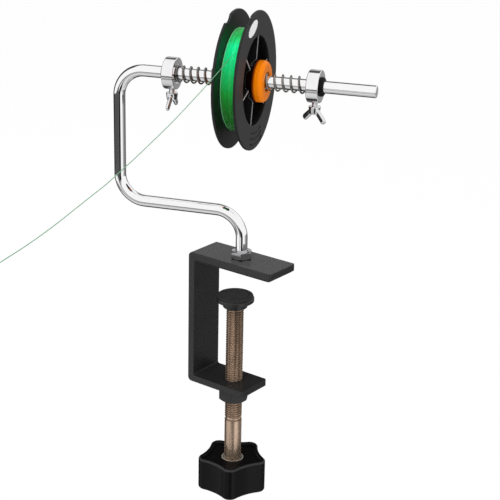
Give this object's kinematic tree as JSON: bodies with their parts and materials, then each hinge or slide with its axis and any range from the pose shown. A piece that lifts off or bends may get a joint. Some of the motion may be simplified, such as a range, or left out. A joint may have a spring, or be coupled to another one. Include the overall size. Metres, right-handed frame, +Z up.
{
  "type": "fishing line winder",
  "caption": "Table clamp with a bent swivelling spindle arm that carries a line spool between two sprung centring cones, stop collars and wing screws.",
  "frame": {"origin": "middle of the jaw face that rests on the table, which is the underside of the rubber sheet under the top jaw, on the axis of the arm's foot", "axes": "+Z up, against the table face; +X from the clamp's spine in over the table; +Y along the table's edge, away from the pictured side; the spindle is level and turned 20 degrees about Z from +X"},
  "size_m": [0.1685, 0.3121, 0.3411],
  "materials": {
    "clamp_coat": "satin black powder coat",
    "pad_rubber": "matte",
    "screw_zinc": "bright plated, threaded",
    "knob_plastic": "glossy",
    "insert_metal": "turned",
    "rod_chrome": "bright chrome plate",
    "nut_metal": "bright plated",
    "collar_chrome": "bright chrome plate",
    "bushing_plastic": "satin black",
    "wing_metal": "bright nickel plate",
    "spring_steel": "bright drawn wire",
    "cone_plastic": "satin orange",
    "spool_plastic": "satin charcoal",
    "label_paper": "bare white label",
    "line_nylon": "glossy green nylon"
  },
  "bodies": {
    "clamp": {"clamp_frame": "clamp_coat", "jaw_pad": "pad_rubber", "screw_nut": "clamp_coat"},
    "pad": {"pressure_plate": "clamp_coat", "plate_pad": "pad_rubber"},
    "screw": {"clamp_screw": "screw_zinc", "knob": "knob_plastic", "knob_insert": "insert_metal"},
    "arm": {"arm_rod": "rod_chrome", "line_lead": "line_nylon", "line_loop": "line_nylon"},
    "foot_nut": {"lock_nut": "nut_metal"},
    "reel": {"spool_flange_left": "spool_plastic", "spool_flange_right": "spool_plastic", "spool_drum": "spool_plastic", "spool_web": "spool_plastic", "spool_hub": "spool_plastic", "spool_ribs": "spool_plastic", "spool_label": "label_paper", "line_core": "line_nylon", "line_turns": "line_nylon"},
    "left_cone": {"cone_left": "cone_plastic"},
    "right_cone": {"cone_right": "cone_plastic"},
    "left_collar": {"collar_left": "collar_chrome", "bushing_left": "bushing_plastic", "spring_left": "spring_steel"},
    "right_collar": {"collar_right": "collar_chrome", "bushing_right": "bushing_plastic", "spring_right": "spring_steel"},
    "left_wing": {"wing_screw_left": "wing_metal"},
    "right_wing": {"wing_screw_right": "wing_metal"}
  },
  "joints": [
    {"name": "pad_travel", "type": "slide", "parent": "clamp", "child": "pad", "axis": [0, 0, 1], "range_m": [-0.0535, 0.01625]},
    {"name": "screw_turn", "type": "hinge", "parent": "pad", "child": "screw", "pos_m": [-0.0045, 0, -0.1], "axis": [0, 0, 1], "range_deg": [-10800, 3240]},
    {"name": "arm_swivel", "type": "hinge", "parent": "clamp", "child": "arm", "pos_m": [0, 0, 0.006], "axis": [0, 0, 1], "range_deg": [-180, 180]},
    {"name": "foot_nut_turn", "type": "hinge", "parent": "arm", "child": "foot_nut", "pos_m": [0, 0, 0.009], "axis": [0, 0, 1], "range_deg": [0, 360]},
    {"name": "spool_spin", "type": "hinge", "parent": "arm", "child": "reel", "pos_m": [0, 0, 0.128], "axis": [0.9397, 0.342, 0], "continuous": true},
    {"name": "left_cone_push", "type": "slide", "parent": "reel", "child": "left_cone", "axis": [-0.9397, -0.342, 0], "range_m": [0, 0.008], "stiffness_N_per_m": 300, "springref_m": -0.007, "deforming": ["spring_left"]},
    {"name": "right_cone_push", "type": "slide", "parent": "reel", "child": "right_cone", "axis": [0.9397, 0.342, 0], "range_m": [0, 0.008], "stiffness_N_per_m": 300, "springref_m": -0.007, "deforming": ["spring_right"]},
    {"name": "left_collar_slide", "type": "slide", "parent": "arm", "child": "left_collar", "axis": [-0.9397, -0.342, 0], "range_m": [0, 0.012]},
    {"name": "right_collar_slide", "type": "slide", "parent": "arm", "child": "right_collar", "axis": [0.9397, 0.342, 0], "range_m": [0, 0.033]},
    {"name": "left_wing_turn", "type": "hinge", "parent": "left_collar", "child": "left_wing", "pos_m": [-0.0468, -0.01703, 0.128], "axis": [0, 0, -1], "range_deg": [0, 360]},
    {"name": "right_wing_turn", "type": "hinge", "parent": "right_collar", "child": "right_wing", "pos_m": [0.04417, 0.01607, 0.128], "axis": [0, 0, -1], "range_deg": [0, 360]}
  ],
  "couplings": [
    {"joint": "pad_travel", "follows": "screw_turn", "m_per_rad": 0.00027852}
  ]
}
